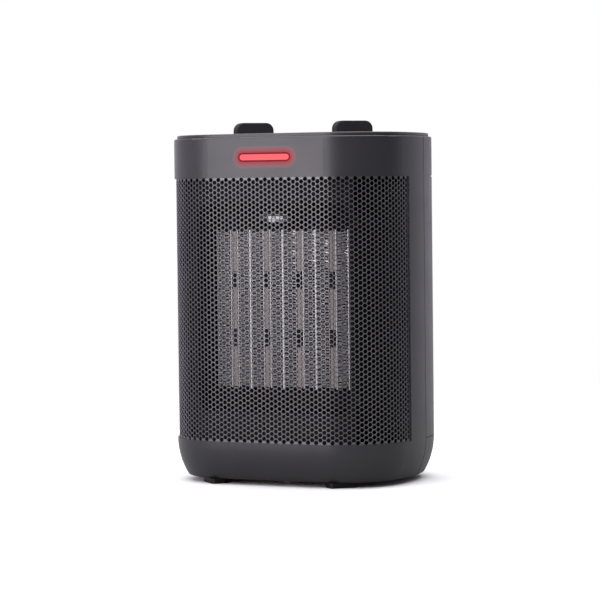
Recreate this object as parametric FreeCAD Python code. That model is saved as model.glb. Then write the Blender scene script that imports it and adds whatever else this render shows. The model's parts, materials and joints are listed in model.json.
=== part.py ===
import FreeCAD, Part
import os
from math import asin, atan2, cos, degrees, pi, radians, sin, sqrt

# Ceramic space heater. Millimetres. X to the right seen from the front, -Y the front, +Z up.
# Origin: centre of the footprint, on the floor under the feet.

Vec = FreeCAD.Vector
UP = Vec(0, 0, 1)
BACK = Vec(0, 1, 0)
RIGHT = Vec(1, 0, 0)

# ---------------------------------------------------------------- outer form
width = 165.4
depth = 120.6
front_radius = 670.0        # slight crown of the front and the back
side_radius = 118.4         # crown of the two sides
corner_radius = 43.5
foot_height = 3.4           # floor to the underside of the base
base_height = 24.7
window_height = 168.9       # tall opening for the grille
band_height = 25.7
lid_rise = 2.3              # top panel above the band
knob_rise = 8.4             # knob grip above the top panel
wall = 3.0
flare_radius = 47.0         # the base tucks in below its top edge on this radius
edge_radius = 1.0
toe_radius = 2.0
seam_gap = 0.6
seam_y = 5.4                # the front and the rear housing meet here
window_y = -16.8            # the window ends here on both sides
seam_groove_depth = 0.6     # shadow lines round the rear housing
seam_groove_width = 0.7

# ---------------------------------------------------------------- grille
grille_inset = 1.05
grille_sheet = 0.8
grille_bite = 2.0           # how far the sheet enters its slot
slot_clearance = 0.12

# ---------------------------------------------------------------- air intake in the rear wall
intake_rows = 15
intake_pitch = 6.6
intake_slot = 3.0
intake_columns = 3
intake_length = 25.0
intake_bar = 4.0

# ---------------------------------------------------------------- top panel and knobs
lid_inset = 2.0
lid_gap = 0.4               # shadow line under the rim of the top panel
lid_plug = 4.5
lid_edge_radius = 0.9
panel_post_x = 60.0
panel_post_y = 24.0
panel_post_radius = 3.5
panel_screw_bite = 5.0
knob_x = 35.4
dial_radius = 16.0
dial_thickness = 1.6
dial_gap = 0.6
grip_length = 25.7
grip_thickness = 8.0
grip_corner = 5.2
grip_turn = 45.0            # the pointer of a knob at its first position
hub_radius = 4.8
shaft_radius = 3.0
running_clearance = 0.05

# ---------------------------------------------------------------- switch and thermostat
switch_plate_drop = 9.0     # from the top of the band down to the plate
switch_plate_sheet = 1.5
switch_plate_margin = 5.0
control_body_height = 18.0
control_floor = 4.0         # material under the end of a shaft
mode_body_half = 13.0
mode_terminals = 5
terminal_sheet = 0.8
terminal_width = 6.0
terminal_drop = 8.0
terminal_pitch = 5.0
thermostat_radius = 9.0
thermostat_arm = 24.0
blade_sheet_metal = 0.5
blade_gap = 3.0

# ---------------------------------------------------------------- light bar
lens_half_length = 18.0
lens_half_height = 2.75
lens_drop = 12.8            # from the top of the band to the middle of the lens
lens_flange = 1.6
lens_recess = 0.15
lens_back = 1.5             # thickness of the lens behind the wall
lamp_box_depth = 7.0
lamp_box_wall = 1.0
lamp_radius = 1.5
lamp_length = 3.2

# ---------------------------------------------------------------- baffle and heating core
baffle_sheet = 1.5
baffle_rim = 2.9            # how far the baffle reaches past the sides of the duct
baffle_gap = 1.0            # from the duct's screw posts to the grille, and from the plate to the housing
baffle_screw_inset = 8.0
baffle_margin = 8.0         # how far the baffle reaches behind the band and the base
baffle_screw_bite = 3.5
baffle_corner = 6.0
duct_width = 106.2
duct_height = 134.2
duct_drop = 16.4            # from the top of the window to the top of the duct
duct_corner = 9.0
duct_wall = 1.6
duct_post_radius = 3.6
duct_post_offset = 2.0      # from the duct's wall to the middle of a post
duct_post_level = 11.0      # from the housing's posts to the duct's posts
core_setback = 26.5         # from the front of the housing to the front of the core
flange_setback = 46.3       # from the front of the housing to the fan shroud
core_depth = 15.0
core_modules = 4
module_pitch = 23.1
core_height = 102.2
divider_sheet = 1.2
stone_slot = 5.5            # room for a column of stones with its contact plates
stones_per_column = 3
stone_end_gap = 0.8         # from the core's ends to the outer stones
stone_spacing = 11.3        # between one stone and the next
stone_thickness = 3.6
contact_sheet = 0.6
end_cap_height = 13.0
electrode_half = 4.0
electrode_gap = 0.3         # round an electrode where it passes the top end cap
cutout_radius = 8.0
cutout_height = 6.4
cutout_rim = 0.6
cutout_lift = 4.9           # above the core
cutout_strap = 1.0          # thickness of the strap across its front
fuse_radius = 2.0
fuse_length = 11.0
fuse_lead_radius = 0.5
fuse_lead_length = 22.0
fuse_x = 26.0
fuse_lift = 8.0
part_gap = 0.2              # between pieces that only lie beside each other

# ---------------------------------------------------------------- fan and motor
shroud_radius = 51.5
shroud_wall = 1.6
shroud_length = 28.0
shroud_flange = 1.6
bulkhead_clearance = 0.8
bulkhead_margin = 4.0       # from the bulkhead to the level of the band and the base
fan_radius = 49.0
fan_hub_radius = 14.0
fan_hub_length = 16.0
fan_setback = 5.0           # from the shroud's flange to the impeller
blade_count = 7
blade_sheet = 1.4
blade_chord = 17.0
blade_pitch = 50.0
blade_root = 5.0            # blades start this far from the axis, inside the hub
hub_edge = 2.0
motor_shaft_radius = 1.6
stack_depth = 16.0
stack_half_width = 24.0
rotor_radius = 11.0
air_gap = 0.4
bracket_sheet = 2.0
bracket_standoff = 3.5
bush_radius = 4.0
bush_length = 6.0
yoke_height = 10.0
stack_up = 20.0
stack_down = 46.0
coil_window_half = 13.0
bobbin_wall = 1.0
bobbin_side_gap = 0.3
coil_build = 4.5
spider_sheet = 3.0
spider_half = 3.0
spacer_radius = 3.6
ear_radius = 4.5
bracket_half = 5.0
motor_screw_inset = 5.0
motor_screw_rise = 13.0

# ---------------------------------------------------------------- base, feet and tip-over switch
lip_height = 2.0
lip_width = 5.0
plate_sheet = 2.0
foot_side_inset = 38.2      # from the side of the housing to the middle of a foot
foot_end_inset = 15.3       # from its front or rear to the middle of a foot
peg_shift_x = 2.0           # a foot's peg sits nearer the middle than its pad
peg_shift_y = 4.0
foot_length = 19.0
foot_width = 11.0
foot_corner = 3.0
foot_peg = 2.5
plunger_radius = 2.4
plunger_drop = 4.0          # travel when the heater is lifted
plunger_press = 0.6         # travel left when it stands
tip_x = 0.0
tip_setback = 14.0          # in front of the fan shroud's bulkhead
plunger_collar = 1.5
plunger_peg = 1.2
tip_body_half = 7.5
tip_bore = 5.4
tip_cover = 2.0
tip_wall = 2.0
tip_wall_rise = 12.0
spring_room = 9.0
spring_radius = 3.2
spring_wire = 0.35
spring_turns = 6.0

# ---------------------------------------------------------------- cord outlet and screws
gland_x = 28.0
gland_height = 11.6         # above the underside of the base
gland_bore = 3.6
gland_wall = 1.6
gland_flange = 1.6
gland_length = 10.0
gland_lip = 1.8             # the flange beyond the tube
gland_inset = 0.3           # the flange lies this far below the rear face
clamp_setback = 25.0
clamp_half = 11.0
clamp_depth = 8.0
clamp_screw_x = 8.0
clamp_cover = 3.0
block_x = -48.0
block_y = 20.0
block_length = 30.0
block_depth = 14.0
block_height = 12.0
screw_radius = 1.5
head_radius = 3.0
head_height = 2.0
cross_width = 0.8           # arms of the cross in a screw's head
cross_depth = 0.9
boss_radius = 4.5
post_merge = 0.5            # how far posts and webs enter the wall
screw_bite = 8.0
thread_clearance = 0.05
hole_clearance = 0.3        # round a screw's shank or head in a through hole
stack_clearance = 0.2       # round the motor's two screws
housing_screw_seat = 12.0   # from the seam to the head of a housing screw
screw_end_gap = 1.0
plug_gap = 0.2              # the base plate's underside lies this far above the base's rim

# ---------------------------------------------------------------- levels and places
base_z = foot_height
window_z = base_z + base_height
band_z = window_z + window_height
band_top = band_z + band_height
lid_top = band_top + lid_rise
knob_top = lid_top + knob_rise
front_y = -depth / 2
rear_y = depth / 2
lens_z = band_top - lens_drop
duct_top = band_z - duct_drop
duct_bottom = duct_top - duct_height
core_z = (duct_top + duct_bottom) / 2 - 1.2
core_y = front_y + core_setback
stone_column = core_height - 2 * stone_end_gap
stone_height = (stone_column - (stones_per_column - 1) * stone_spacing) / stones_per_column
stone_pitch = stone_height + stone_spacing
baffle_half_width = duct_width / 2 + baffle_rim
duct_post_x = duct_width / 2 + duct_wall + duct_post_offset
core_width = core_modules * module_pitch
fin_width = (module_pitch - divider_sheet - stone_slot) / 2
core_bottom = core_z - core_height / 2
core_top = core_z + core_height / 2
fan_z = (duct_top + duct_bottom) / 2
flange_y = front_y + flange_setback
tip_y = flange_y - tip_setback
fan_y = flange_y + shroud_flange + fan_setback
spider_y = flange_y + shroud_length
front_bracket_y = spider_y + spider_sheet
stack_y = front_bracket_y + bracket_sheet + bracket_standoff + 1.0
rear_bracket_y = stack_y + stack_depth + bracket_standoff
switch_plate_z = band_top - switch_plate_drop
control_body_bottom = switch_plate_z - control_body_height
plate_z = base_z + lip_height
boss_x = width / 2 - 10.7
boss_levels = (window_z + 17.0, band_z - 17.0)
foot_x = width / 2 - foot_side_inset
foot_y = depth / 2 - foot_end_inset
peg_x = foot_x - peg_shift_x
peg_y = foot_y - peg_shift_y
plate_boss_x = width / 2 - 20.7
plate_boss_y = 20.0
gland_z = base_z + gland_height
gland_face_y = rear_y - gland_inset
gland_seat_y = gland_face_y - gland_flange
gland_flange_radius = gland_bore + gland_wall + gland_lip
clamp_y = rear_y - clamp_setback
clamp_top = gland_z + gland_bore + clamp_cover
screw_seat_y = seam_y + seam_gap + housing_screw_seat
plate_top = plate_z + plate_sheet
collar_low = plate_top + plunger_drop + plunger_press
collar_high = collar_low + plunger_collar
spring_top = collar_high + spring_room
tip_top = spring_top + tip_cover
lamp_back_y = front_y + wall + lens_back + 0.4 + lamp_box_depth


# ================================================================ outline
def outline_arcs():
    """The plan outline as eight tangent arcs: (centre x, centre y, radius, from, to) in degrees."""
    front_cy = front_y + front_radius
    side_cx = width / 2 - side_radius
    to_front = front_radius - corner_radius
    to_side = side_radius - corner_radius
    span = sqrt(side_cx ** 2 + front_cy ** 2)
    along = (to_front ** 2 - to_side ** 2 + span ** 2) / (2 * span)
    off = sqrt(to_front ** 2 - along ** 2)
    ux = side_cx / span
    uy = -front_cy / span
    corner_x = abs(along * ux - off * uy)
    corner_y = front_cy + along * uy + off * ux
    other_y = front_cy + along * uy - off * ux
    if other_y < corner_y:
        corner_x = abs(along * ux + off * uy)
        corner_y = other_y
    near = degrees(atan2(corner_x, front_cy - corner_y))
    far = degrees(atan2(corner_x - side_cx, -corner_y))
    return [
        (side_cx, 0, side_radius, far - 90, 90 - far),
        (corner_x, -corner_y, corner_radius, 90 - far, 90 - near),
        (0, -front_cy, front_radius, 90 - near, 90 + near),
        (-corner_x, -corner_y, corner_radius, 90 + near, 90 + far),
        (-side_cx, 0, side_radius, 90 + far, 270 - far),
        (-corner_x, corner_y, corner_radius, 270 - far, 270 - near),
        (0, front_cy, front_radius, 270 - near, 270 + near),
        (corner_x, corner_y, corner_radius, 270 + near, 270 + far),
    ]


def level_with_room(half, inset):
    """The level near the front at which the outline, moved in by inset, is half wide on each side."""
    cx, cy, radius = outline_arcs()[-1][:3]
    return cy - sqrt((radius - inset) ** 2 - (half - cx) ** 2)


baffle_y = max(level_with_room(duct_post_x + duct_post_radius + baffle_gap, grille_inset + grille_sheet),
               level_with_room(baffle_half_width, wall) + baffle_gap)


def outline_wire(inset, z):
    edges = []
    for cx, cy, radius, start, end in outline_arcs():
        circle = Part.Circle(Vec(cx, cy, z), UP, radius - inset)
        edges.append(circle.toShape(radians(start), radians(end)))
    return Part.Wire(edges)


def slab(inset, low, high):
    return Part.Face(outline_wire(inset, low)).extrude(Vec(0, 0, high - low))


def band_ring(outer, inner, low, high):
    return slab(outer, low, high).cut(slab(inner, low, high))


def swept(section):
    """Sweep a closed section, built by section(place), round the whole outline."""
    wedges = []
    for cx, cy, radius, start, end in outline_arcs():
        direction = Vec(cos(radians(start)), sin(radians(start)), 0)
        centre = Vec(cx, cy, 0)

        def place(inset, z):
            return centre + direction * (radius - inset) + UP * z

        wedges.append(Part.Face(section(place)).revolve(centre, UP, end - start))
    return wedges[0].multiFuse(wedges[1:])


def flare_inset(radius, z):
    """Inset of the tucked-in base wall at height z, for the wall face of this radius."""
    return flare_radius - sqrt(radius ** 2 - (window_z - z) ** 2)


def body_solid(offset, bottom, toe):
    """The heater's outer form, moved in by offset, from bottom to the top of the band."""
    radius = flare_radius - offset
    fill = corner_radius - 12.0
    arm = radius - toe
    toe_inset = flare_radius - sqrt(arm ** 2 - (window_z - bottom - toe) ** 2)
    lean = asin((window_z - bottom - toe) / arm)
    middle = (flare_radius - radius * cos(lean / 2), window_z - radius * sin(lean / 2))
    joint = (flare_radius - radius * cos(lean), window_z - radius * sin(lean))
    bend_angle = (lean + pi / 2) / 2
    bend = (toe_inset - toe * cos(bend_angle), bottom + toe - toe * sin(bend_angle))
    foot = (toe_inset, bottom)

    def section(place):
        edges = [Part.Arc(place(offset, window_z), place(*middle), place(*joint)).toShape()]
        if toe:
            edges.append(Part.Arc(place(*joint), place(*bend), place(*foot)).toShape())
        edges.append(Part.makeLine(place(*foot), place(fill, bottom)))
        edges.append(Part.makeLine(place(fill, bottom), place(fill, window_z)))
        edges.append(Part.makeLine(place(fill, window_z), place(offset, window_z)))
        return Part.Wire(edges)

    core = slab(fill, bottom, window_z)
    return swept(section).fuse([core, slab(offset, window_z, band_top)])


# ================================================================ small shapes
def box(x0, x1, y0, y1, z0, z1):
    return Part.makeBox(x1 - x0, y1 - y0, z1 - z0, Vec(x0, y0, z0))


def rod_z(x, y, z0, z1, radius):
    return Part.makeCylinder(radius, z1 - z0, Vec(x, y, z0), UP)


def rod_y(x, z, y0, y1, radius):
    return Part.makeCylinder(radius, y1 - y0, Vec(x, y0, z), BACK)


def rounded_plate_y(half_x, z0, z1, y0, y1, radius):
    """A plate facing the front, with rounded corners."""
    plate = box(-half_x, half_x, y0, y1, z0, z1)
    edges = [e for e in plate.Edges if abs(e.Vertexes[0].Y - e.Vertexes[1].Y) > 1e-6]
    return plate.makeFillet(radius, edges)


def pill_y(half_length, half_height, z, y0, y1):
    """A bar with round ends, lying along X, running from y0 to y1."""
    straight = half_length - half_height
    parts = [rod_y(side * straight, z, y0, y1, half_height) for side in (-1, 1)]
    return box(-straight, straight, y0, y1, z - half_height, z + half_height).fuse(parts).removeSplitter()


def front_half():
    return box(-width, width, -depth, seam_y, -10, knob_top)


def rear_half():
    return box(-width, width, seam_y + seam_gap, depth, -10, knob_top)


def corners(dx, dy):
    return [(sx * dx, sy * dy) for sx in (-1, 1) for sy in (-1, 1)]


def one_solid(shape):
    """A refined shape, as a bare solid where it is a single piece."""
    refined = shape.removeSplitter()
    if len(refined.Solids) == 1:
        return refined.Solids[0]
    return refined


# ================================================================ housings
def shell():
    outer = body_solid(0.0, base_z, toe_radius)
    rim = [e for e in outer.Edges if min(v.Z for v in e.Vertexes) > band_top - 0.01]
    outer = outer.makeFillet(edge_radius, rim)
    inner = body_solid(wall, plate_z, 0.0).fuse(slab(wall, band_top - 1.0, band_top + 1.0))
    opening = slab(flare_inset(flare_radius - wall, plate_z) + lip_width - 1.0, base_z - 1.0, plate_z + 1.0)
    return outer.cut([inner, opening])


def grille_slot():
    """The slot that the grille's edge sits in, all round the window."""
    low = window_z - grille_bite - slot_clearance
    high = band_z + grille_bite + slot_clearance
    ring = band_ring(grille_inset - slot_clearance, grille_inset + grille_sheet + slot_clearance, low, high)
    reach = box(-width, width, -depth, window_y + grille_bite + slot_clearance, low, high)
    return ring.common(reach)


def base_bosses(side):
    """Two posts for the base plate's screws, each with a web to the wall."""
    posts = []
    for sx in (-1, 1):
        x = sx * plate_boss_x
        y = side * plate_boss_y
        top = window_z - 2.0
        low = plate_top
        posts.append(rod_z(x, y, low, top, boss_radius))
        posts.append(box(min(x, sx * width / 2), max(x, sx * width / 2), y - 1.0, y + 1.0, low, top))
    return posts


def seam_bosses(y0, y1):
    """Four posts along Y that join the front and the rear housing, each with a web to the wall."""
    posts = []
    for sx in (-1, 1):
        for z in boss_levels:
            x = sx * boss_x
            posts.append(rod_y(x, z, y0, y1, boss_radius))
            posts.append(box(min(x, sx * width / 2), max(x, sx * width / 2), y0, y1, z - 1.0, z + 1.0))
    return posts


def baffle_fixings():
    """Centres of the baffle's four screws: x and z."""
    low = window_z - 4.5
    high = band_z + 4.5
    return [(sx * (baffle_half_width - baffle_screw_inset), z) for sx in (-1, 1) for z in (low, high)]


def front_housing():
    body = shell().common(front_half())
    window = box(-width, width, -depth, window_y, window_z, band_z)
    body = body.cut([window, grille_slot()])
    posts = base_bosses(-1) + seam_bosses(window_y + 5.0, seam_y)
    for x, z in baffle_fixings():
        posts.append(rod_y(x, z, front_y, baffle_y, boss_radius - 0.5))
    inside = body_solid(wall - post_merge, plate_top, 0.0)
    body = body.fuse([p.common(inside) for p in posts])
    lens_hole = pill_y(lens_half_length + slot_clearance, lens_half_height + slot_clearance, lens_z,
                       -depth, front_y + 2 * wall)
    holes = [lens_hole]
    pilot = screw_radius + thread_clearance
    for sx in (-1, 1):
        holes.append(rod_z(sx * plate_boss_x, -plate_boss_y, base_z, plate_top + screw_bite, pilot))
        for z in boss_levels:
            holes.append(rod_y(sx * boss_x, z, seam_y - screw_bite, seam_y + 1.0, pilot))
    for x, z in baffle_fixings():
        holes.append(rod_y(x, z, baffle_y - baffle_screw_bite - 0.5, baffle_y + 1.0, pilot))
    return one_solid(body.cut(holes))


def intake_slots():
    """Rows of short level slots in the rear wall, behind the fan."""
    slots = []
    step = intake_length + intake_bar
    for row in range(intake_rows):
        z = fan_z + (row - (intake_rows - 1) / 2) * intake_pitch
        for column in range(intake_columns):
            x = (column - (intake_columns - 1) / 2) * step
            slot = pill_y(intake_length / 2, intake_slot / 2, z, rear_y - 3 * wall, rear_y + 1.0)
            slots.append(slot.translated(Vec(x, 0, 0)))
    return slots


def rear_housing():
    body = shell().common(rear_half())
    grooves = []
    for z in (window_z, band_z):
        half = seam_groove_width / 2
        grooves.append(band_ring(-1.0, seam_groove_depth, z - half, z + half))
    body = body.cut(grooves)
    posts = base_bosses(1) + seam_bosses(seam_y + seam_gap, rear_y)
    inside = body_solid(wall - post_merge, plate_top, 0.0)
    pad = rod_y(gland_x, gland_z, rear_y - 8.0, gland_seat_y, gland_flange_radius + 1.2)
    body = body.fuse([p.common(inside) for p in posts] + [pad.common(body_solid(-1.0, plate_z, 0.0))])
    holes = intake_slots()
    holes.append(rod_y(gland_x, gland_z, gland_seat_y, rear_y + 1.0, gland_flange_radius + slot_clearance))
    for sx in (-1, 1):
        holes.append(rod_z(sx * plate_boss_x, plate_boss_y, base_z, plate_top + screw_bite,
                           screw_radius + thread_clearance))
        for z in boss_levels:
            holes.append(rod_y(sx * boss_x, z, seam_y, rear_y, screw_radius + hole_clearance))
            holes.append(rod_y(sx * boss_x, z, screw_seat_y, rear_y, head_radius + hole_clearance))
    tube_hole = gland_bore + gland_wall + slot_clearance
    holes.append(rod_y(gland_x, gland_z, rear_y - 20.0, rear_y + 1.0, tube_hole))
    return one_solid(body.cut(holes))


def top_panel():
    rim = slab(lid_inset, band_top + lid_gap, lid_top)
    edge = [e for e in rim.Edges if min(v.Z for v in e.Vertexes) > lid_top - 0.01]
    rim = rim.makeFillet(lid_edge_radius, edge)
    seat = slab(lid_inset + 0.6, band_top, band_top + lid_gap)
    plug = band_ring(wall + part_gap, wall + part_gap + 1.8, band_top - lid_plug, band_top)
    lid = rim.fuse([seat, plug])
    posts = []
    for x, y in corners(panel_post_x, panel_post_y):
        posts.append(rod_z(x, y, switch_plate_z + switch_plate_sheet, band_top + 0.2, panel_post_radius))
    lid = lid.fuse(posts)
    holes = []
    for side in (-1, 1):
        recess = lid_top - dial_thickness / 2 - dial_gap
        holes.append(rod_z(side * knob_x, 0, recess, lid_top + 1, dial_radius + dial_gap))
        holes.append(rod_z(side * knob_x, 0, band_top - 1, lid_top + 1, hub_radius + 0.4))
    for x, y in corners(panel_post_x, panel_post_y):
        top = switch_plate_z + switch_plate_sheet + panel_screw_bite + screw_end_gap
        holes.append(rod_z(x, y, switch_plate_z, top, screw_radius + thread_clearance))
    return one_solid(lid.cut(holes))


def base_plate():
    edge = flare_inset(flare_radius - wall, plate_z)
    plate = slab(edge + 0.8, plate_z, plate_top)
    plug = slab(edge + lip_width - 1.0 + part_gap, base_z + plug_gap, plate_z)
    plate = plate.fuse(plug)
    holes = []
    for x, y in corners(plate_boss_x, plate_boss_y):
        holes.append(rod_z(x, y, base_z - 1, plate_top + 1, screw_radius + hole_clearance))
        holes.append(rod_z(x, y, base_z - 1, base_z + plug_gap + head_height, head_radius + hole_clearance))
    for x, y in corners(peg_x, peg_y):
        holes.append(rod_z(x, y, base_z - 1, plate_top + 1, foot_peg + slot_clearance))
    holes.append(rod_z(tip_x, tip_y, base_z - 1, plate_top + 1, plunger_radius + hole_clearance))
    return one_solid(plate.cut(holes))


def rubber_feet():
    """Four pads, turned to follow the corners, each with a peg through the base plate."""
    feet = []
    for (x, y), (pin_x, pin_y) in zip(corners(foot_x, foot_y), corners(peg_x, peg_y)):
        pad = Part.makeBox(foot_length, foot_width, foot_height, Vec(-foot_length / 2, -foot_width / 2, 0))
        upright = [e for e in pad.Edges if abs(e.Vertexes[0].Z - e.Vertexes[1].Z) > 1]
        pad = pad.makeFillet(foot_corner, upright)
        bottom = [e for e in pad.Edges if max(v.Z for v in e.Vertexes) < 0.01]
        pad = pad.makeFillet(0.6, bottom)
        pad.rotate(Vec(0, 0, 0), UP, -45 if x * y > 0 else 45)
        pad.translate(Vec(x, y, 0))
        peg = rod_z(pin_x, pin_y, foot_height - 0.1, plate_top + 1.2, foot_peg)
        feet.append(one_solid(pad.fuse(peg)))
    return Part.makeCompound(feet)


def front_grille():
    """The sheet as a closed strip bent round the front; its holes are not cut."""
    low = window_z - grille_bite
    high = band_z + grille_bite
    ring = band_ring(grille_inset, grille_inset + grille_sheet, low, high)
    return one_solid(ring.common(box(-width, width, -depth, window_y + grille_bite, low, high)))


def indicator_lens():
    window = pill_y(lens_half_length, lens_half_height, lens_z, -depth, front_y + 3 * wall)
    flange = pill_y(lens_half_length + lens_flange, lens_half_height + lens_flange, lens_z,
                    -depth, front_y + 3 * wall)
    low = lens_z - 10
    high = lens_z + 10
    face = window.common(band_ring(lens_recess, wall + 0.1, low, high))
    back = flange.common(band_ring(wall + 0.02, wall + lens_back, low, high))
    return one_solid(face.fuse(back))


def lamp_holder():
    """A small open-fronted reflector behind the lens."""
    y0 = lamp_back_y - lamp_box_depth
    half = lens_half_length + lens_flange
    tall = lens_half_height + lens_flange
    outer = box(-half, half, y0, lamp_back_y, lens_z - tall, lens_z + tall)
    half -= lamp_box_wall
    tall -= lamp_box_wall
    inner = box(-half, half, y0 - 1, lamp_back_y - lamp_box_wall, lens_z - tall, lens_z + tall)
    return one_solid(outer.cut(inner))


def indicator_lamps():
    """Two small lamps on the back wall of the reflector."""
    y1 = lamp_back_y - lamp_box_wall
    lamps = []
    for side in (-1, 1):
        x = side * lens_half_length / 2
        bulb = rod_y(x, lens_z, y1 - lamp_length, y1, lamp_radius)
        tip = Part.makeSphere(lamp_radius, Vec(x, y1 - lamp_length, lens_z))
        lamps.append(one_solid(bulb.fuse(tip)))
    return Part.makeCompound(lamps)


# ================================================================ knobs, switch and thermostat
def knob(side):
    disc_low = lid_top - dial_thickness / 2
    disc_high = disc_low + dial_thickness
    grip = Part.makeBox(grip_length, grip_thickness, knob_top - disc_high + 0.4,
                        Vec(-grip_length / 2, -grip_thickness / 2, disc_high - 0.4))
    top_edges = [e for e in grip.Edges if min(v.Z for v in e.Vertexes) > knob_top - 0.01]
    ends = [e for e in top_edges if abs(e.Vertexes[0].X - e.Vertexes[1].X) < 0.01]
    grip = grip.makeFillet(grip_corner, ends)
    soft = [e for e in grip.Edges if min(v.Z for v in e.Vertexes) > disc_high]
    grip = grip.makeFillet(0.7, soft)
    grip.rotate(Vec(0, 0, 0), UP, grip_turn)
    grip.translate(Vec(side * knob_x, 0, 0))
    disc = rod_z(side * knob_x, 0, disc_low, disc_high, dial_radius)
    disc = disc.makeFillet(0.5, [e for e in disc.Edges if min(v.Z for v in e.Vertexes) > disc_high - 0.01])
    hub = rod_z(side * knob_x, 0, switch_plate_z + switch_plate_sheet + 1.1, disc_low + 0.2, hub_radius)
    return one_solid(disc.fuse([grip, hub]).cut(control_shaft(side)))


def control_shaft(side):
    """Shaft with a flat, from inside the switch up into the knob."""
    low = control_body_bottom + control_floor
    high = lid_top - dial_thickness / 2 - 1.0
    shaft = rod_z(side * knob_x, 0, low, high, shaft_radius)
    flat = box(-10, 10, shaft_radius * 0.6, 10, switch_plate_z + switch_plate_sheet + 2.0, lid_top + 10)
    return shaft.cut(flat.translated(Vec(side * knob_x, 0, 0)))


def switch_plate():
    half_x = panel_post_x + switch_plate_margin
    half_y = panel_post_y + switch_plate_margin
    plate = box(-half_x, half_x, -half_y, half_y, switch_plate_z, switch_plate_z + switch_plate_sheet)
    upright = [e for e in plate.Edges if abs(e.Vertexes[0].Z - e.Vertexes[1].Z) > 0.1]
    plate = plate.makeFillet(4.0, upright)
    low = switch_plate_z - 1
    high = switch_plate_z + switch_plate_sheet + 1
    holes = [rod_z(side * knob_x, 0, low, high, shaft_radius + 1.0) for side in (-1, 1)]
    for x, y in corners(panel_post_x, panel_post_y):
        holes.append(rod_z(x, y, low, high, screw_radius + hole_clearance))
    return one_solid(plate.cut(holes))


def mode_switch():
    half = mode_body_half
    body = box(-knob_x - half, -knob_x + half, -half, half, control_body_bottom, switch_plate_z)
    upright = [e for e in body.Edges if abs(e.Vertexes[0].Z - e.Vertexes[1].Z) > 0.1]
    body = body.makeFillet(3.0, upright)
    floor = control_body_bottom + control_floor - part_gap
    bore = rod_z(-knob_x, 0, floor, switch_plate_z + 1, shaft_radius + running_clearance)
    return one_solid(body.cut(bore))


def switch_terminals():
    """Blade terminals under the mode switch."""
    blades = []
    low = control_body_bottom - terminal_drop
    for step in range(mode_terminals):
        x = -knob_x + (step - (mode_terminals - 1) / 2) * terminal_pitch
        half = terminal_sheet / 2
        blades.append(box(x - half, x + half, -terminal_width / 2, terminal_width / 2, low, control_body_bottom))
    return Part.makeCompound(blades)


def thermostat_body():
    low = control_body_bottom + control_floor / 2
    frame = rod_z(knob_x, 0, low, switch_plate_z, thermostat_radius)
    arm = box(knob_x, knob_x + thermostat_arm, -6, 6, switch_plate_z - 7.0, switch_plate_z - 3.0)
    floor = control_body_bottom + control_floor - part_gap
    bore = rod_z(knob_x, 0, floor, switch_plate_z + 1, shaft_radius + running_clearance)
    return one_solid(frame.fuse(arm).cut(bore))


def thermostat_blades():
    """The bimetal blade and the contact blade, stacked under the arm, with their spacers."""
    top = switch_plate_z - 7.0
    first = top - blade_gap
    second = first - blade_sheet_metal - blade_gap
    near = knob_x + thermostat_radius + 1.0
    far = knob_x + thermostat_arm + 12.0
    pieces = [box(near, far, -4, 4, z, z + blade_sheet_metal) for z in (first, second)]
    pieces.append(box(near + 4, near + 12, -4, 4, first + blade_sheet_metal, top))
    pieces.append(box(near + 4, near + 12, -4, 4, second + blade_sheet_metal, first))
    return one_solid(pieces[0].fuse(pieces[1:]))


# ================================================================ baffle and heating core
def baffle():
    low = window_z - baffle_margin
    high = band_z + baffle_margin
    plate = rounded_plate_y(baffle_half_width, low, high, baffle_y, baffle_y + baffle_sheet, baffle_corner)
    half = duct_width / 2
    hole = rounded_plate_y(half, duct_bottom, duct_top, baffle_y - 1, flange_y + 1, duct_corner)
    sleeve = rounded_plate_y(half + duct_wall, duct_bottom - duct_wall, duct_top + duct_wall,
                             baffle_y, flange_y, duct_corner + duct_wall)
    frame = plate.fuse(sleeve)
    for x, z in flange_fixings():
        frame = frame.fuse(rod_y(x, z, baffle_y + baffle_sheet / 2, flange_y, duct_post_radius))
    holes = [hole]
    for x, z in baffle_fixings():
        holes.append(rod_y(x, z, baffle_y - 1, baffle_y + baffle_sheet + 1, screw_radius + hole_clearance))
    for x, z in flange_fixings():
        holes.append(rod_y(x, z, flange_y - screw_bite, flange_y + 1, screw_radius + thread_clearance))
    return one_solid(frame.cut(holes))


def flange_fixings():
    low, high = boss_levels
    return [(sx * duct_post_x, z) for sx in (-1, 1) for z in (low + duct_post_level, high - duct_post_level)]


def module_centres():
    first = -core_width / 2 + module_pitch / 2
    return [first + module_pitch * step for step in range(core_modules)]


def core_dividers():
    """Upright aluminium strips between the modules and at both ends."""
    strips = []
    for step in range(core_modules + 1):
        x = -core_width / 2 + module_pitch * step
        strips.append(box(x - divider_sheet / 2, x + divider_sheet / 2, core_y, core_y + core_depth,
                          core_bottom, core_top))
    return Part.makeCompound(strips)


def core_fins():
    """Each corrugated fin strip as the closed block that it fills."""
    blocks = []
    for x in module_centres():
        for side in (-1, 1):
            near = x + side * stone_slot / 2
            far = near + side * fin_width
            blocks.append(box(min(near, far), max(near, far), core_y, core_y + core_depth,
                              core_bottom + 1.0, core_top - 1.0))
    return Part.makeCompound(blocks)


def contact_plates():
    """Two aluminium plates on each column of stones, which carry the heat to the fins."""
    plates = []
    for x in module_centres():
        for side in (-1, 1):
            near = x + side * (stone_slot / 2 - contact_sheet)
            far = x + side * stone_slot / 2
            plates.append(box(min(near, far), max(near, far), core_y + 0.6, core_y + core_depth - 0.6,
                              core_bottom, core_top))
    return Part.makeCompound(plates)


def ceramic_stones():
    """Ceramic heating stones, three one above the other between each pair of plates."""
    stones = []
    for x in module_centres():
        for step in range(stones_per_column):
            z = core_z + (step - (stones_per_column - 1) / 2) * stone_pitch
            stones.append(box(x - stone_thickness / 2, x + stone_thickness / 2,
                              core_y + 0.8, core_y + core_depth - 0.8,
                              z - stone_height / 2, z + stone_height / 2))
    return Part.makeCompound(stones)


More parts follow.
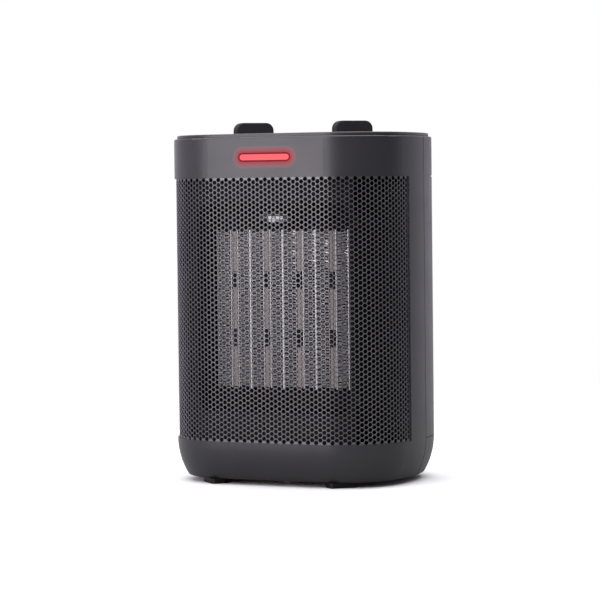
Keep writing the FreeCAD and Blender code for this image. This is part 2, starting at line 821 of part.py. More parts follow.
def electrodes():
    """A contact strip on one face of the stones in each column, ending in a tab above the core."""
    strips = []
    room = stone_slot / 2 - contact_sheet - stone_thickness / 2
    for x in module_centres():
        x0 = x + stone_thickness / 2
        y0 = core_y + core_depth / 2
        strips.append(box(x0, x0 + room - 0.1, y0 - electrode_half, y0 + electrode_half,
                          core_bottom + 1, core_top + end_cap_height - 2))
    return Part.makeCompound(strips)


def core_end_cap(side):
    """A heat-resistant channel that carries the core inside the duct; side 1 is the top one."""
    face = core_top if side > 0 else core_bottom
    far = face + side * end_cap_height
    z0 = min(face, far)
    z1 = max(face, far)
    half = duct_width / 2 - part_gap
    cap = box(-half, half, core_y + 1.0, core_y + core_depth + 1.0, z0, z1)
    bore = rounded_plate_y(half, duct_bottom + part_gap, duct_top - part_gap, core_y, flange_y, duct_corner)
    cap = cap.common(bore)
    if side > 0:
        reach = electrode_half + electrode_gap
        middle = core_y + core_depth / 2
        for x in module_centres():
            slot = box(x - stone_slot / 2, x + stone_slot / 2, middle - reach, middle + reach, z0 - 1, z1 + 1)
            cap = cap.cut(slot)
    return one_solid(cap)


def core_side_rails():
    """Two upright rails between the core and the duct's sides."""
    rails = []
    inner = core_width / 2 + divider_sheet / 2
    outer = duct_width / 2 - part_gap
    for side in (-1, 1):
        x0 = min(side * inner, side * outer)
        x1 = max(side * inner, side * outer)
        rails.append(box(x0, x1, core_y + 1.0, core_y + core_depth + 1.0, core_bottom, core_top))
    return Part.makeCompound(rails)


def thermal_cutout():
    """Round bimetal cut-out hung in the hot air above the core."""
    z = core_top + cutout_lift
    y = core_y - cutout_radius + 0.3
    can = rod_z(0, y, z, z + cutout_height, cutout_radius)
    rim = rod_z(0, y, z, z + 1.4, cutout_radius + cutout_rim)
    tab = box(-3, 3, core_y - 2.0, core_y + 1.0, z + 2.0, z + 3.0)
    front = y - cutout_radius
    strap = box(-cutout_radius, cutout_radius, front - cutout_strap, front + cutout_strap,
                z + 2.0, z + cutout_height - 1.0)
    return one_solid(can.fuse([rim, tab, strap]))


def thermal_fuse():
    """Small axial fuse in front of the top end cap, with its two leads."""
    z = core_top + fuse_lift
    y = core_y - fuse_radius - part_gap
    lead_half = fuse_lead_length / 2
    body = Part.makeCylinder(fuse_radius, fuse_length, Vec(fuse_x - fuse_length / 2, y, z), RIGHT)
    lead = Part.makeCylinder(fuse_lead_radius, fuse_lead_length, Vec(fuse_x - lead_half, y, z), RIGHT)
    pieces = [lead]
    for side in (-1, 1):
        x = fuse_x + side * (lead_half - fuse_lead_radius)
        pieces.append(box(x - fuse_lead_radius, x + fuse_lead_radius, y, core_y + 1.0,
                          z - fuse_lead_radius, z + fuse_lead_radius))
    return one_solid(body.fuse(pieces))


# ================================================================ fan and motor
def spider_arms(y0, y1):
    arms = []
    for turn in (45, 135, 225, 315):
        arm = box(0, shroud_radius + shroud_wall / 2, y0, y1, -spider_half, spider_half)
        arm.rotate(Vec(0, 0, 0), BACK, turn)
        arm.translate(Vec(0, 0, fan_z))
        arms.append(arm)
    return arms


def fan_shroud():
    """Round fan duct with a bulkhead across the housing in front and a motor carrier of four arms behind."""
    half = width / 2 - side_radius + sqrt((side_radius - wall) ** 2 - flange_y ** 2) - bulkhead_clearance
    flange = rounded_plate_y(half, window_z + bulkhead_margin, band_z - bulkhead_margin,
                             flange_y, flange_y + shroud_flange, 8.0)
    tube = rod_y(0, fan_z, flange_y, spider_y, shroud_radius + shroud_wall)
    arms = spider_arms(spider_y - 1.0, front_bracket_y)
    carrier = rod_y(0, fan_z, spider_y, front_bracket_y, stack_half_width + 4.0)
    body = flange.fuse([tube])
    body = body.cut(rod_y(0, fan_z, flange_y - 1, spider_y + 5, shroud_radius))
    body = body.fuse(arms + [carrier])
    holes = [rod_y(0, fan_z, spider_y - 2, spider_y + 5, bush_radius + 3.0)]
    for x, z in flange_fixings():
        holes.append(rod_y(x, z, flange_y - 1, flange_y + 5, screw_radius + hole_clearance))
    for x, z in motor_fixings():
        holes.append(rod_y(x, z, spider_y - 2, spider_y + 5, screw_radius + thread_clearance))
    return one_solid(body.cut(holes))


def fan_impeller():
    hub = rod_y(0, 0, 0, fan_hub_length, fan_hub_radius)
    hub = hub.makeFillet(hub_edge, [e for e in hub.Edges if max(v.Y for v in e.Vertexes) < 0.01])
    hub = hub.cut(rod_y(0, 0, 7.0, fan_hub_length + 1, fan_hub_radius - 2.0))
    hub = hub.fuse(rod_y(0, 0, 2.0, fan_hub_length, 4.0))
    trim = rod_y(0, 0, -5, fan_hub_length + 5, fan_radius)
    trim = trim.cut(rod_y(0, 0, -6, fan_hub_length + 6, fan_hub_radius - 1.0))
    blades = []
    for step in range(blade_count):
        blade = Part.makeBox(blade_sheet, blade_chord, fan_radius, Vec(-blade_sheet / 2, -blade_chord / 2, 0))
        blade.rotate(Vec(0, 0, 0), UP, blade_pitch)
        blade.translate(Vec(0, fan_hub_length / 2, blade_root))
        blade.rotate(Vec(0, 0, 0), BACK, 360.0 * step / blade_count)
        blades.append(blade.common(trim))
    fan = hub.fuse(blades)
    fan = fan.cut(rod_y(0, 0, -1, fan_hub_length + 1, motor_shaft_radius))
    return one_solid(fan).translated(Vec(0, fan_y, fan_z))


def motor_shaft():
    end = stack_y + stack_depth + bracket_standoff + bracket_sheet + bush_length / 2 + 1.0
    return rod_y(0, fan_z, fan_y, end, motor_shaft_radius)


def motor_rotor():
    rotor = rod_y(0, fan_z, stack_y, stack_y + stack_depth, rotor_radius)
    return rotor.cut(rod_y(0, fan_z, stack_y - 1, stack_y + stack_depth + 1, motor_shaft_radius))


def motor_fixings():
    return [(side * (stack_half_width - motor_screw_inset), fan_z + motor_screw_rise) for side in (-1, 1)]


def motor_stator():
    """C-shaped stack of laminations with the rotor bore above and the coil window below."""
    y0 = stack_y
    y1 = stack_y + stack_depth
    block = box(-stack_half_width, stack_half_width, y0, y1, fan_z - stack_down, fan_z + stack_up)
    opening = box(-coil_window_half, coil_window_half, y0 - 1, y1 + 1,
                  fan_z - stack_down + yoke_height, fan_z - stack_up)
    holes = [opening, rod_y(0, fan_z, y0 - 1, y1 + 1, rotor_radius + air_gap)]
    for x, z in motor_fixings():
        holes.append(rod_y(x, z, y0 - 1, y1 + 1, screw_radius + stack_clearance))
    return one_solid(block.cut(holes))


def yoke_sleeve(grow, half):
    """A block round the yoke, larger by grow on all four sides."""
    return box(-half, half, stack_y - grow, stack_y + stack_depth + grow,
               fan_z - stack_down - grow, fan_z - stack_down + yoke_height + grow)


def coil_bobbin():
    half = coil_window_half - bobbin_side_gap
    bare = part_gap / 2
    sleeve = yoke_sleeve(bare + bobbin_wall, half)
    between = yoke_sleeve(2 * coil_window_half, half - bobbin_wall)
    cheeks = yoke_sleeve(bare + bobbin_wall + coil_build, half).cut(between)
    return one_solid(sleeve.fuse(cheeks).cut(yoke_sleeve(bare, 2 * half)))


def motor_coil():
    half = coil_window_half - bobbin_side_gap - bobbin_wall
    bare = part_gap / 2 + bobbin_wall
    coil = yoke_sleeve(bare + coil_build - 0.3, half)
    along = [e for e in coil.Edges if abs(e.Vertexes[0].X - e.Vertexes[1].X) > 1]
    return one_solid(coil.makeFillet(2.0, along).cut(yoke_sleeve(bare, 2 * half)))


def motor_bracket(y0):
    """A strap across the motor that holds a bush."""
    strap = box(-stack_half_width, stack_half_width, y0, y0 + bracket_sheet,
                fan_z - bracket_half, fan_z + bracket_half)
    ears = []
    for x, z in motor_fixings():
        ears.append(rod_y(x, z, y0, y0 + bracket_sheet, ear_radius))
        ears.append(box(x - ear_radius, x + ear_radius, y0, y0 + bracket_sheet, fan_z, z))
    middle = rod_y(0, fan_z, y0, y0 + bracket_sheet, bush_radius + 3.5)
    plate = strap.fuse(ears + [middle])
    holes = [rod_y(0, fan_z, y0 - 1, y0 + bracket_sheet + 1, bush_radius)]
    for x, z in motor_fixings():
        holes.append(rod_y(x, z, y0 - 1, y0 + bracket_sheet + 1, screw_radius + stack_clearance))
    return one_solid(plate.cut(holes))


def motor_spacers():
    """Tubes that keep the brackets clear of the rotor."""
    tubes = []
    for x, z in motor_fixings():
        for y0, y1 in ((front_bracket_y + bracket_sheet, stack_y), (stack_y + stack_depth, rear_bracket_y)):
            tube = rod_y(x, z, y0, y1, spacer_radius)
            tube = tube.cut(rod_y(x, z, y0 - 1, y1 + 1, screw_radius + stack_clearance))
            tubes.append(tube)
    return Part.makeCompound(tubes)


def motor_bushes():
    bushes = []
    for y in (front_bracket_y + bracket_sheet / 2, rear_bracket_y + bracket_sheet / 2):
        low = y - bush_length / 2
        bush = rod_y(0, fan_z, low, low + bush_length, bush_radius)
        bushes.append(bush.cut(rod_y(0, fan_z, low - 1, low + bush_length + 1,
                                     motor_shaft_radius + running_clearance)))
    return Part.makeCompound(bushes)


# ================================================================ base parts
def tip_switch_body():
    """Housing of the tip-over switch, with a back wall that carries the micro switch."""
    low = plate_top
    body = box(-tip_body_half, tip_body_half, -tip_body_half, tip_body_half, low, tip_top)
    wall_up = box(-tip_body_half, tip_body_half, tip_body_half - tip_wall, tip_body_half,
                  low, tip_top + tip_wall_rise)
    holes = [rod_z(0, 0, low - 1, spring_top, tip_bore), rod_z(0, 0, low, tip_top + 1, plunger_peg + 0.4)]
    return one_solid(body.fuse(wall_up).cut(holes)).translated(Vec(tip_x, tip_y, 0))


def tip_plunger():
    """Plunger that the floor pushes up; its peg works the micro switch."""
    stem = rod_z(tip_x, tip_y, 0, collar_low + 0.2, plunger_radius)
    stem = stem.makeFillet(0.8, [e for e in stem.Edges if max(v.Z for v in e.Vertexes) < 0.01])
    collar = rod_z(tip_x, tip_y, collar_low, collar_high, tip_bore - 0.4)
    peg = rod_z(tip_x, tip_y, collar_high, tip_top + 1.0, plunger_peg)
    return one_solid(stem.fuse([collar, peg]))


def tip_spring():
    """Closed-pitch wire spring between the collar and the cover."""
    length = spring_top - collar_high - 2 * spring_wire
    helix = Part.makeHelix(length / spring_turns, length, spring_radius)
    helix.translate(Vec(tip_x, tip_y, collar_high + spring_wire))
    start = Vec(tip_x + spring_radius, tip_y, collar_high + spring_wire)
    ring = Part.Wire([Part.Circle(start, Vec(0, 1, 0), spring_wire).toShape()])
    return one_solid(Part.Wire(helix.Edges).makePipeShell([ring], True, True))


def micro_switch():
    z0 = tip_top + 1.0 + plunger_press + 0.2
    y1 = tip_y + tip_body_half - tip_wall
    body = box(tip_x - 6.4, tip_x + 6.4, y1 - 8.5, y1, z0, z0 + 6.5)
    return one_solid(body)


def cord_gland():
    """Bushing through the rear of the base; the bore takes the supply cord."""
    y0 = gland_face_y - gland_length
    flange = rod_y(gland_x, gland_z, gland_seat_y, gland_face_y, gland_flange_radius)
    outer = [e for e in flange.Edges if min(v.Y for v in e.Vertexes) > gland_face_y - 0.01]
    flange = flange.makeFillet(0.7, outer)
    tube = rod_y(gland_x, gland_z, y0, gland_face_y, gland_bore + gland_wall)
    return one_solid(flange.fuse(tube).cut(rod_y(gland_x, gland_z, y0 - 1, rear_y, gland_bore)))


def cord_clamp():
    """Two-piece saddle on the base plate, in line with the gland."""
    low = plate_top
    half = clamp_depth / 2
    saddle = box(gland_x - clamp_half, gland_x + clamp_half, clamp_y - half, clamp_y + half, low, clamp_top)
    holes = [rod_y(gland_x, gland_z, clamp_y - clamp_depth, clamp_y + clamp_depth, gland_bore - 0.2)]
    for side in (-1, 1):
        x = gland_x + side * clamp_screw_x
        holes.append(rod_z(x, clamp_y, low - 1, clamp_top + 1, screw_radius + thread_clearance))
    return one_solid(saddle.cut(holes))


def clamp_screws():
    screws = []
    top = gland_z + gland_bore + 3
    for side in (-1, 1):
        x = gland_x + side * 8
        screws.append(screw(Vec(x, clamp_y, top), Vec(0, 0, -1), top - plate_z - plate_sheet - 1.0))
    return Part.makeCompound(screws)


def terminal_block():
    low = plate_top
    body = box(block_x, block_x + block_length, block_y, block_y + block_depth, low, low + block_height)
    pitch = block_length / 3
    wire_z = low + block_height / 2 - 1.0
    holes = []
    for step in range(3):
        x = block_x + (step + 0.5) * pitch
        holes.append(rod_y(x, wire_z, block_y - 1, block_y + block_depth + 1, 2.2))
        for y in (block_y + block_depth / 4, block_y + 3 * block_depth / 4):
            holes.append(rod_z(x, y, wire_z, low + block_height + 1, 1.8))
    return one_solid(body.cut(holes))


# ================================================================ screws
def screw(seat, direction, length):
    """Round-head screw: the head's underside at seat, the shank along direction."""
    head = Part.makeCylinder(head_radius, head_height, seat - direction * head_height, direction)
    top = [e for e in head.Edges if (e.CenterOfMass - seat).dot(direction) < -head_height + 0.01]
    head = head.makeFillet(0.8, top)
    shank = Part.makeCylinder(screw_radius, length, seat, direction)
    body = head.fuse(shank)
    half = cross_width / 2
    reach = head_radius * 0.65
    arm = box(-half, half, -reach, reach, 0, cross_depth)
    cross = arm.fuse(box(-reach, reach, -half, half, 0, cross_depth))
    cross.translate(Vec(0, 0, -head_height))
    cross.Placement = FreeCAD.Placement(seat, FreeCAD.Rotation(UP, direction)).multiply(cross.Placement)
    return one_solid(body.cut(cross))


def housing_screws():
    screws = []
    for sx in (-1, 1):
        for z in boss_levels:
            seat = Vec(sx * boss_x, screw_seat_y, z)
            screws.append(screw(seat, -BACK, screw_seat_y - seam_y + screw_bite - screw_end_gap))
    return Part.makeCompound(screws)


def base_screws():
    seat_z = base_z + plug_gap + head_height
    length = plate_top - seat_z + screw_bite - screw_end_gap
    places = corners(plate_boss_x, plate_boss_y)
    return Part.makeCompound([screw(Vec(x, y, seat_z), UP, length) for x, y in places])


def baffle_screws():
    seat_y = baffle_y + baffle_sheet
    length = baffle_sheet + baffle_screw_bite
    return Part.makeCompound([screw(Vec(x, seat_y, z), -BACK, length) for x, z in baffle_fixings()])


def shroud_screws():
    seat_y = flange_y + shroud_flange
    length = shroud_flange + screw_bite - screw_end_gap
    return Part.makeCompound([screw(Vec(x, seat_y, z), -BACK, length) for x, z in flange_fixings()])


def motor_screws():
    seat_y = rear_bracket_y + bracket_sheet
    length = seat_y - spider_y
    return Part.makeCompound([screw(Vec(x, seat_y, z), -BACK, length) for x, z in motor_fixings()])


def plate_screws():
    length = switch_plate_sheet + panel_screw_bite
    places = corners(panel_post_x, panel_post_y)
    return Part.makeCompound([screw(Vec(x, y, switch_plate_z), UP, length) for x, y in places])


# ================================================================ output
def all_parts():
    return {
        "front_housing": front_housing(),
        "rear_housing": rear_housing(),
        "top_panel": top_panel(),
        "base_plate": base_plate(),
        "rubber_feet": rubber_feet(),
        "front_grille": front_grille(),
        "indicator_lens": indicator_lens(),
        "lamp_holder": lamp_holder(),
        "indicator_lamps": indicator_lamps(),
        "mode_knob": knob(-1),
        "mode_shaft": control_shaft(-1),
        "mode_switch": mode_switch(),
        "switch_terminals": switch_terminals(),
        "thermostat_knob": knob(1),
        "thermostat_shaft": control_shaft(1),
        "thermostat_body": thermostat_body(),
        "thermostat_blades": thermostat_blades(),
        "switch_plate": switch_plate(),
        "baffle": baffle(),
        "core_dividers": core_dividers(),
        "core_fins": core_fins(),
        "contact_plates": contact_plates(),
        "ceramic_stones": ceramic_stones(),
        "electrodes": electrodes(),
        "core_cap_top": core_end_cap(1),
        "core_cap_bottom": core_end_cap(-1),
        "core_side_rails": core_side_rails(),
        "thermal_cutout": thermal_cutout(),
        "thermal_fuse": thermal_fuse(),
        "fan_shroud": fan_shroud(),
        "fan_impeller": fan_impeller(),
        "motor_shaft": motor_shaft(),
        "motor_rotor": motor_rotor(),
        "motor_stator": motor_stator(),
        "coil_bobbin": coil_bobbin(),
        "motor_coil": motor_coil(),
        "motor_bracket_front": motor_bracket(front_bracket_y),
        "motor_bracket_rear": motor_bracket(rear_bracket_y),
        "motor_spacers": motor_spacers(),
        "motor_bushes": motor_bushes(),
        "tip_switch_body": tip_switch_body(),
        "tip_plunger": tip_plunger(),
        "tip_spring": tip_spring(),
        "micro_switch": micro_switch(),
        "cord_gland": cord_gland(),
        "cord_clamp": cord_clamp(),
        "clamp_screws": clamp_screws(),
        "terminal_block": terminal_block(),
        "housing_screws": housing_screws(),
        "base_screws": base_screws(),
        "baffle_screws": baffle_screws(),
        "shroud_screws": shroud_screws(),
        "motor_screws": motor_screws(),
        "plate_screws": plate_screws(),
    }


os.makedirs("parts", exist_ok=True)
for name, shape in all_parts().items():
    bounds = shape.optimalBoundingBox(False)
    state = "ok" if shape.isValid() else "INVALID"
    print("%-20s %s solids %d volume %.0f  x %.1f..%.1f y %.1f..%.1f z %.1f..%.1f" % (
        name, state, len(shape.Solids), shape.Volume,
        bounds.XMin, bounds.XMax, bounds.YMin, bounds.YMax, bounds.ZMin, bounds.ZMax))
    shape.exportStep("parts/" + name + ".step")
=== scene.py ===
import json
from math import atan2, ceil, cos, pi, radians, sin, sqrt

import bmesh
import bpy
from mathutils import Matrix, Vector


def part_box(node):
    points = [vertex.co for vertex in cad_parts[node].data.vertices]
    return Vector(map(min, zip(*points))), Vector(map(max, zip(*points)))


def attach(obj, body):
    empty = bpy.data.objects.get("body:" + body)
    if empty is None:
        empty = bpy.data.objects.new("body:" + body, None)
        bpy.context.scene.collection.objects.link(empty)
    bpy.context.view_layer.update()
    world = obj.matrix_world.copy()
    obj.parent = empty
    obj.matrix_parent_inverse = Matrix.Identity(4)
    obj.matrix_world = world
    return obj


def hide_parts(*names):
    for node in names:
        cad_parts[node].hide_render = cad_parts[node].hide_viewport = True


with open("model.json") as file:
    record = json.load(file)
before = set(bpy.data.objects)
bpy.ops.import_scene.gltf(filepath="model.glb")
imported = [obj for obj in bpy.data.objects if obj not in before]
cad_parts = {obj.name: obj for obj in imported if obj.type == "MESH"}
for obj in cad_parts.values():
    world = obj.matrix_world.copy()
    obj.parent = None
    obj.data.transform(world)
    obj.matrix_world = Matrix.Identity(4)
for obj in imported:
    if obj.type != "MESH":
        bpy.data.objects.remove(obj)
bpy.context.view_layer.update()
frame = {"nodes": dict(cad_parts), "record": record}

# A ceramic space heater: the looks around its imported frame. Metres, -Y is the front.

MM = 0.001
scene = bpy.context.scene
nodes = frame["nodes"]


# ---------------------------------------------------------------- outline of the housing
low_corner, high_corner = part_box("front_housing")
WIDTH = high_corner.x - low_corner.x
DEPTH = -2 * low_corner.y
FRONT_RADIUS = 670 * MM
SIDE_RADIUS = 118.4 * MM
CORNER_RADIUS = 43.5 * MM


def outline_arcs():
    """The right half of the plan outline, from the middle of the front to the side:
    (centre x, centre y, radius, turn at its start, turn at its end), turns from -Y."""
    front_cy = -DEPTH / 2 + FRONT_RADIUS
    side_cx = WIDTH / 2 - SIDE_RADIUS
    to_front = FRONT_RADIUS - CORNER_RADIUS
    to_side = SIDE_RADIUS - CORNER_RADIUS
    span = sqrt(side_cx ** 2 + front_cy ** 2)
    along = (to_front ** 2 - to_side ** 2 + span ** 2) / (2 * span)
    off = sqrt(to_front ** 2 - along ** 2)
    ux, uy = side_cx / span, -front_cy / span
    candidates = [(along * ux - off * uy * s, front_cy + along * uy + off * ux * s) for s in (1, -1)]
    corner_x, corner_y = min(candidates, key=lambda c: c[1])
    near = atan2(abs(corner_x), front_cy - corner_y)
    far = atan2(abs(corner_x) - side_cx, -corner_y)
    return [
        (0.0, front_cy, FRONT_RADIUS, 0.0, near),
        (abs(corner_x), corner_y, CORNER_RADIUS, near, far),
        (side_cx, 0.0, SIDE_RADIUS, far, pi / 2),
    ]


ARCS = outline_arcs()


def outline_point(u, inset):
    """The point at distance u along the outer outline from the middle of the front, moved in by inset."""
    side = 1 if u >= 0 else -1
    rest = abs(u)
    for cx, cy, radius, start, end in ARCS:
        length = radius * (end - start)
        if rest <= length or end == pi / 2:
            turn = start + rest / radius
            return (side * (cx + (radius - inset) * sin(turn)), cy - (radius - inset) * cos(turn))
        rest -= length


def outline_length(y_limit):
    """Distance along the outline from the middle of the front to where it passes y_limit."""
    low, high = 0.0, 0.2
    for _ in range(50):
        middle = (low + high) / 2
        if outline_point(middle, 0.0)[1] < y_limit:
            low = middle
        else:
            high = middle
    return low


# ---------------------------------------------------------------- camera
CAMERA_AZIMUTH = radians(24.27)
CAMERA_ELEVATION = radians(2.44)
CAMERA_ROLL = radians(0.653)
CAMERA_DISTANCE = 1.6405
CAMERA_SIDE_STEP = -2.907 * MM
CAMERA_AIM_HEIGHT = 116.78 * MM
LENS_LENGTH = 150
SENSOR_WIDTH = 36


def make_camera():
    """A long lens to the heater's right, a little above its middle and slightly rolled."""
    azimuth, elevation, roll = CAMERA_AZIMUTH, CAMERA_ELEVATION, CAMERA_ROLL
    back = Vector((sin(azimuth) * cos(elevation), -cos(azimuth) * cos(elevation), sin(elevation)))
    right = Vector((cos(azimuth), sin(azimuth), 0))
    up = back.cross(right)
    place = right * CAMERA_SIDE_STEP + Vector((0, 0, CAMERA_AIM_HEIGHT)) + back * CAMERA_DISTANCE
    rolled_right = right * cos(roll) - up * sin(roll)
    rolled_up = right * sin(roll) + up * cos(roll)
    turn = Matrix((rolled_right, rolled_up, back)).transposed().to_4x4()
    data = bpy.data.cameras.new("camera")
    data.lens = LENS_LENGTH
    data.sensor_width = SENSOR_WIDTH
    camera = bpy.data.objects.new("camera", data)
    camera.matrix_world = Matrix.Translation(place) @ turn
    scene.collection.objects.link(camera)
    scene.camera = camera


make_camera()


# ---------------------------------------------------------------- materials
NOISE_LOW = 0.3             # nearly all of a noise texture's values lie between these
NOISE_HIGH = 0.7
PATCH_SCALE = 40.0          # slow changes of colour and gloss
GRAIN_DEPTH = 0.1 * MM
PLASTIC_TINT = (1.0, 0.97, 1.14)


def new_material(name):
    material = bpy.data.materials.new(name)
    material.use_nodes = True
    tree = material.node_tree
    shader = tree.nodes["Principled BSDF"]
    return material, tree, shader


def add_node(tree, kind, **settings):
    node = tree.nodes.new(kind)
    for key, value in settings.items():
        if key in node.inputs:
            node.inputs[key].default_value = value
        else:
            setattr(node, key, value)
    return node


def object_coords(tree):
    return tree.nodes.new("ShaderNodeTexCoord").outputs["Object"]


def noise(tree, scale, detail, roughness, stretch=(1, 1, 1)):
    """Noise in the object's own space; stretch widens it along an axis."""
    mapping = tree.nodes.new("ShaderNodeMapping")
    mapping.inputs["Scale"].default_value = stretch
    tree.links.new(object_coords(tree), mapping.inputs["Vector"])
    texture = add_node(tree, "ShaderNodeTexNoise", Scale=scale, Detail=detail, Roughness=roughness)
    tree.links.new(mapping.outputs["Vector"], texture.inputs["Vector"])
    return texture.outputs["Fac"]


def ramp(tree, source, low, high, start=NOISE_LOW, end=NOISE_HIGH):
    """Maps a value between two colours."""
    node = tree.nodes.new("ShaderNodeValToRGB")
    node.color_ramp.elements[0].position = start
    node.color_ramp.elements[1].position = end
    node.color_ramp.elements[0].color = (*low, 1)
    node.color_ramp.elements[1].color = (*high, 1)
    tree.links.new(source, node.inputs["Fac"])
    return node.outputs["Color"]


def remap(tree, source, low, high):
    """Maps the noise's usual range to low and high."""
    node = add_node(tree, "ShaderNodeMapRange")
    node.inputs["From Min"].default_value = NOISE_LOW
    node.inputs["From Max"].default_value = NOISE_HIGH
    node.inputs["To Min"].default_value = low
    node.inputs["To Max"].default_value = high
    tree.links.new(source, node.inputs["Value"])
    return node.outputs["Result"]


def bump(tree, shader, height, strength):
    node = add_node(tree, "ShaderNodeBump", Strength=strength, Distance=GRAIN_DEPTH)
    tree.links.new(height, node.inputs["Height"])
    tree.links.new(node.outputs["Normal"], shader.inputs["Normal"])


def surface(name, low, high, rough_low, rough_high, scale, grain,
            metallic=0.0, stretch=(1, 1, 1), specular=0.5):
    """A general surface: slow colour variation, fine grain in the bump and uneven gloss."""
    material, tree, shader = new_material(name)
    slow = noise(tree, PATCH_SCALE, 4.0, 0.6, stretch)
    fine = noise(tree, scale, 3.0, 0.6, stretch)
    tree.links.new(ramp(tree, slow, low, high), shader.inputs["Base Color"])
    tree.links.new(remap(tree, slow, rough_low, rough_high), shader.inputs["Roughness"])
    shader.inputs["Metallic"].default_value = metallic
    shader.inputs["Specular IOR Level"].default_value = specular
    bump(tree, shader, fine, grain)
    return material


def grey(value):
    """The plastics' grey, slightly violet."""
    return tuple(value * t for t in PLASTIC_TINT)


LENS_HALF = 15.25 * MM       # from the light bar's middle to the centre of each round end
LENS_RADIUS = 2.75 * MM
GLOW_EDGE = 0.95 * MM        # the dark rim of the moulding starts this far inside its edge
GLOW_FADE = 0.1 * MM
# how far the red glow painted round the light bar reaches
PAINTED_GLOW_REACH = 4.6 * MM
MATT_REACH = 3.4 * MM        # the plastic under the painted glow near the bar shows no gloss
BLACK = (0.0, 0.0, 0.0)


def lens_distance(tree):
    """Distance from the middle line of the light bar, seen from the front."""
    low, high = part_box("indicator_lens")
    split = tree.nodes.new("ShaderNodeSeparateXYZ")
    tree.links.new(object_coords(tree), split.inputs["Vector"])
    along = add_node(tree, "ShaderNodeMath", operation="ABSOLUTE")
    tree.links.new(split.outputs["X"], along.inputs[0])
    beyond = add_node(tree, "ShaderNodeMath", operation="SUBTRACT")
    tree.links.new(along.outputs["Value"], beyond.inputs[0])
    beyond.inputs[1].default_value = LENS_HALF
    past = add_node(tree, "ShaderNodeMath", operation="MAXIMUM")
    tree.links.new(beyond.outputs["Value"], past.inputs[0])
    past.inputs[1].default_value = 0.0
    rise = add_node(tree, "ShaderNodeMath", operation="SUBTRACT")
    tree.links.new(split.outputs["Z"], rise.inputs[0])
    rise.inputs[1].default_value = (low.z + high.z) / 2
    pair = tree.nodes.new("ShaderNodeCombineXYZ")
    tree.links.new(past.outputs["Value"], pair.inputs["X"])
    tree.links.new(rise.outputs["Value"], pair.inputs["Y"])
    length = add_node(tree, "ShaderNodeVectorMath", operation="LENGTH")
    tree.links.new(pair.outputs["Vector"], length.inputs[0])
    return length.outputs["Value"]


def distance_ramp(tree, near, far, inner, outer):
    """Colour of the distance from the light bar: inner up to near, outer from far on."""
    fraction = add_node(tree, "ShaderNodeMapRange")
    fraction.inputs["From Min"].default_value = near
    fraction.inputs["From Max"].default_value = far
    tree.links.new(lens_distance(tree), fraction.inputs["Value"])
    return ramp(tree, fraction.outputs["Result"], inner, outer, 0.0, 1.0)


def lens_material():
    """Lit pink inside, with the dark red rim of the clear moulding."""
    material, tree, shader = new_material("glowing_lens")
    slow = noise(tree, 120.0, 2.0, 0.5)
    tree.links.new(ramp(tree, slow, (0.16, 0.01, 0.015), (0.20, 0.015, 0.02)), shader.inputs["Base Color"])
    rim_start = LENS_RADIUS - GLOW_EDGE
    glow = distance_ramp(tree, rim_start, rim_start + GLOW_FADE, (1.0, 0.15, 0.165), (0.04, 0.0, 0.001))
    tree.links.new(glow, shader.inputs["Emission Color"])
    shader.inputs["Emission Strength"].default_value = 0.95
    shader.inputs["Roughness"].default_value = 0.6
    shader.inputs["Specular IOR Level"].default_value = 0.06
    return material


def housing_material():
    """The housing's plastic, with a red glow painted as emission close round the light bar, in place of the
    light the bar throws on it.
    """
    material = surface("front_plastic_painted_glow", *HOUSING_LOOK)
    tree = material.node_tree
    shader = tree.nodes["Principled BSDF"]
    # painted light: a red glow emitted by the plastic itself, fading with distance from the light bar
    painted_glow = distance_ramp(tree, LENS_RADIUS, LENS_RADIUS + PAINTED_GLOW_REACH, (0.36, 0.01, 0.02), BLACK)
    tree.links.new(painted_glow, shader.inputs["Emission Color"])
    shader.inputs["Emission Strength"].default_value = 1.0
    gloss = distance_ramp(tree, LENS_RADIUS, LENS_RADIUS + MATT_REACH, (0.12, 0.12, 0.12), (0.5, 0.5, 0.5))
    tree.links.new(gloss, shader.inputs["Specular IOR Level"])
    return material


HIGHLIGHT_LEFT = -2.0 * MM        # the painted highlight patch runs from here to the right
HIGHLIGHT_DROP = 2.4 * MM         # its top, below the can's top
HIGHLIGHT_HEIGHT = 3.6 * MM
# the can's dark colour, and the light grey of the highlight painted on it
CAN_DARK = (0.01, 0.01, 0.01)
PAINTED_HIGHLIGHT_GREY = (0.62, 0.62, 0.62)


def can_material():
    """The cut-out's can: dark, with a highlight painted as a light grey patch on its front."""
    material = surface("tinned_steel", CAN_DARK, PAINTED_HIGHLIGHT_GREY, 0.4, 0.5, 900.0, 0.3, 0.35)
    tree = material.node_tree
    shader = tree.nodes["Principled BSDF"]
    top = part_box("thermal_cutout")[1].z
    split = tree.nodes.new("ShaderNodeSeparateXYZ")
    tree.links.new(object_coords(tree), split.inputs["Vector"])
    # mask of the painted highlight patch, built from three steps
    inside = None
    for axis, edge, test in (("X", HIGHLIGHT_LEFT, "GREATER_THAN"), ("Z", top - HIGHLIGHT_DROP, "LESS_THAN"),
                             ("Z", top - HIGHLIGHT_DROP - HIGHLIGHT_HEIGHT, "GREATER_THAN")):
        step = add_node(tree, "ShaderNodeMath", operation=test)
        tree.links.new(split.outputs[axis], step.inputs[0])
        step.inputs[1].default_value = edge
        if inside is None:
            inside = step.outputs["Value"]
            continue
        both = add_node(tree, "ShaderNodeMath", operation="MULTIPLY")
        tree.links.new(inside, both.inputs[0])
        tree.links.new(step.outputs["Value"], both.inputs[1])
        inside = both.outputs["Value"]
    # painted highlight: light grey inside the patch, dark elsewhere
    look = ramp(tree, inside, CAN_DARK, PAINTED_HIGHLIGHT_GREY, 0.0, 1.0)
    tree.links.new(look, shader.inputs["Base Color"])
    return material


HOUSING_LOOK = (grey(0.018), grey(0.021), 0.34, 0.40, 1400.0, 0.10)

